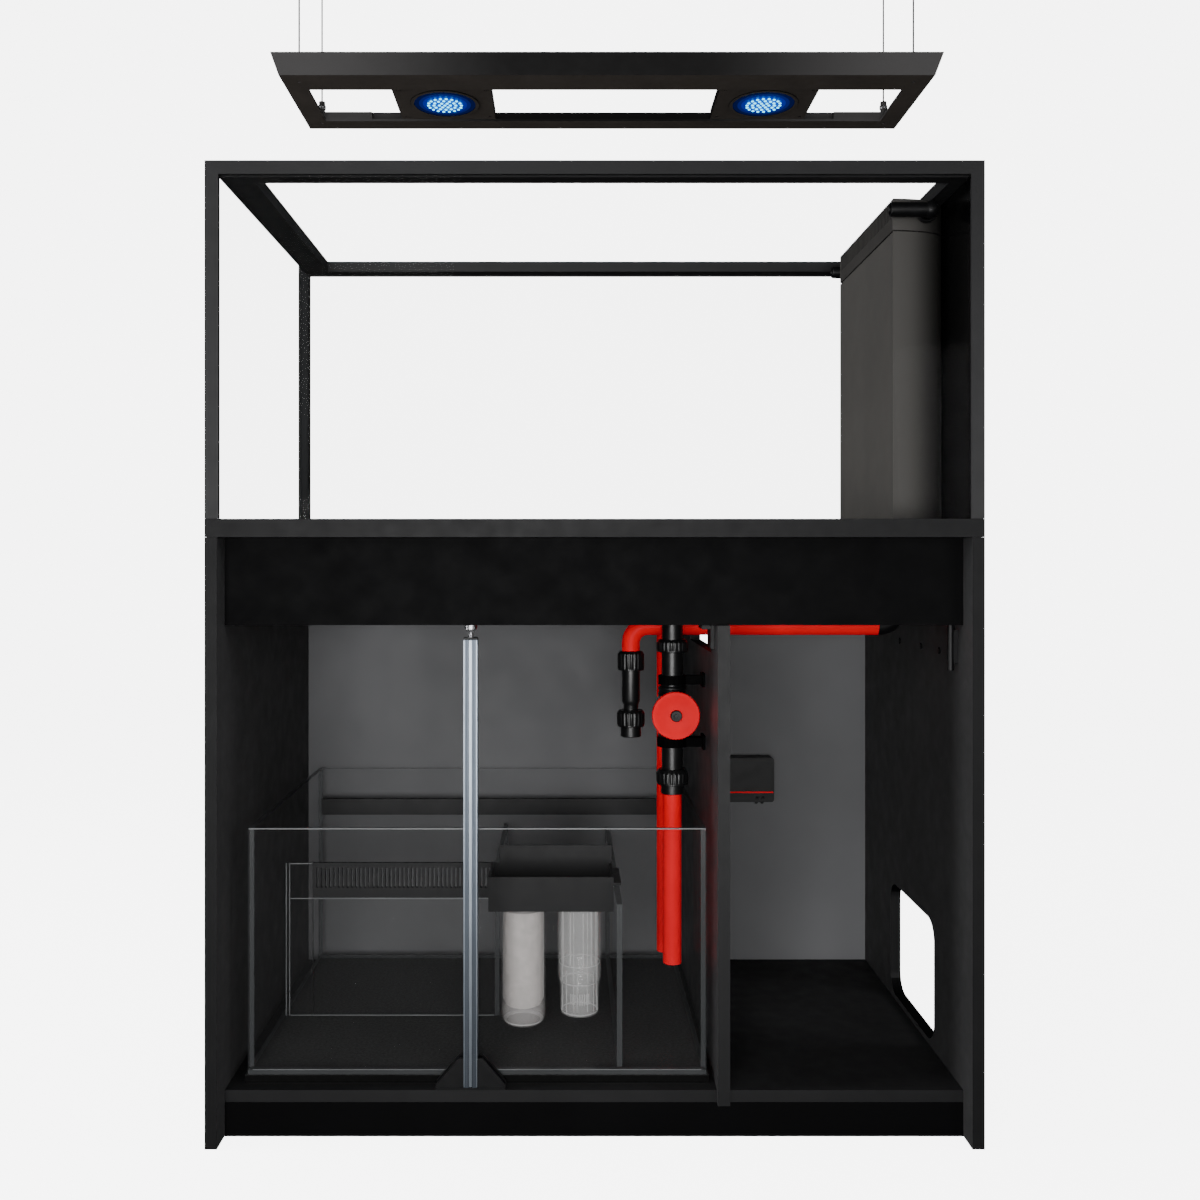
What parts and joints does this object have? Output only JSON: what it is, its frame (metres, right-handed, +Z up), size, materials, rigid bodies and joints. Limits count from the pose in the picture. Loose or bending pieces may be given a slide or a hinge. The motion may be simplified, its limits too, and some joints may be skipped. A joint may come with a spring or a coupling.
{
  "type": "aquarium on stand",
  "caption": "Rimmed glass reef tank with side overflow on a black open cabinet holding a glass sump, red and black plumbing, and a hanging two-lamp light.",
  "frame": {"origin": "centre of the floor footprint, at floor level", "axes": "+X to the right as seen from the front, +Y to the back, +Z up"},
  "size_m": [1.2, 0.65, 2.012],
  "materials": {
    "laminate": "black melamine face, fine grain, satin",
    "backing_board": "dark grey board, matte",
    "pivot_grey": "grey plastic, satin",
    "aluminium": "clear anodised, satin",
    "black_plastic": "moulded black plastic, satin",
    "steel": "stainless, satin",
    "trim": "dark grey powder coat, fine texture",
    "clear_glass": "clear float glass, polished edges",
    "black_glass": "opaque black pane, gloss",
    "red_plastic": "red pipe, satin gloss",
    "foam": "black foam mat",
    "clear_plastic": "clear moulded plastic",
    "light_metal": "black powder coat, fine texture"
  },
  "bodies": {
    "tank_and_stand": {"left_side_panel": "laminate", "right_side_panel": "laminate", "plinth": "laminate", "floor_panel": "laminate", "front_fascia": "laminate", "top_panel": "laminate", "divider_panel": "laminate", "back_panel": "backing_board", "door_pivot": "pivot_grey", "support_post": "aluminium", "post_foot": "black_plastic", "post_cap": "black_plastic", "overflow_box": "black_plastic", "return_riser": "black_plastic", "return_upper_nut": "black_plastic", "return_adapter": "black_plastic", "return_lower_nut": "black_plastic", "drain_run": "black_plastic", "drain_upper_nut": "black_plastic", "drain_lower_nut": "black_plastic", "valve_body": "black_plastic", "pipe_clamp_upper": "black_plastic", "pipe_clamp_lower": "black_plastic", "sump_comb": "black_plastic", "rear_brace": "black_plastic", "cup_tray": "black_plastic", "controller": "black_plastic", "wire_front_left": "steel", "wire_front_right": "steel", "wire_rear_left": "steel", "wire_rear_right": "steel", "ceiling_bar_left": "steel", "ceiling_bar_right": "steel", "base_tray": "trim", "front_trim": "trim", "rear_trim": "trim", "top_brace": "trim", "bottom_glass": "clear_glass", "front_glass": "clear_glass", "rear_glass": "clear_glass", "left_glass": "clear_glass", "sump_glass": "clear_glass", "chamber_wall": "clear_glass", "inlet_wall": "clear_glass", "right_glass": "black_glass", "return_pipe": "red_plastic", "emergency_pipe": "red_plastic", "drain_tail_pipe": "red_plastic", "sump_mat": "foam"},
    "pendant": {"pendant_frame": "light_metal", "led_left": "light_metal", "led_right": "light_metal"},
    "valve_wheel": {"valve_handle": "red_plastic"},
    "valve_slide": {"valve_gate": "steel"},
    "weir_comb": {"overflow_comb": "black_plastic"},
    "front_outlet": {"front_nozzle": "black_plastic"},
    "rear_outlet": {"rear_nozzle": "black_plastic"},
    "filter_cup_body": {"filter_cup": "clear_plastic"},
    "media_cup_body": {"media_cup": "clear_plastic"},
    "adjuster": {"post_adjuster": "steel"}
  },
  "joints": [
    {"name": "pendant_height", "type": "slide", "parent": "tank_and_stand", "child": "pendant", "axis": [0, 0, 1], "range_m": [0, 0.1]},
    {"name": "valve_turn", "type": "hinge", "parent": "tank_and_stand", "child": "valve_wheel", "pos_m": [0.1385, -0.116, 0.648], "axis": [0, 1, 0], "range_deg": [0, 1440]},
    {"name": "valve_gate_slide", "type": "slide", "parent": "tank_and_stand", "child": "valve_slide", "axis": [0, 1, 0], "range_m": [0, 0.022]},
    {"name": "comb_lift", "type": "slide", "parent": "tank_and_stand", "child": "weir_comb", "axis": [0, 0, 1], "range_m": [0, 0.06]},
    {"name": "front_nozzle_swivel", "type": "hinge", "parent": "tank_and_stand", "child": "front_outlet", "pos_m": [0.545, -0.233, 1.473], "axis": [0, 0, 1], "range_deg": [-5, 30]},
    {"name": "rear_nozzle_swivel", "type": "hinge", "parent": "tank_and_stand", "child": "rear_outlet", "pos_m": [0.545, 0.177, 1.473], "axis": [0, 0, 1], "range_deg": [-30, 5]},
    {"name": "filter_cup_lift", "type": "slide", "parent": "tank_and_stand", "child": "filter_cup_body", "axis": [0, 0, 1], "range_m": [0, 0.27]},
    {"name": "media_cup_lift", "type": "slide", "parent": "tank_and_stand", "child": "media_cup_body", "axis": [0, 0, 1], "range_m": [0, 0.27]},
    {"name": "post_adjuster_travel", "type": "slide", "parent": "tank_and_stand", "child": "adjuster", "axis": [0, 0, 1], "range_m": [-0.007, 0]}
  ],
  "couplings": [
    {"joint": "valve_gate_slide", "follows": "valve_turn", "m_per_rad": 0.0008714}
  ]
}
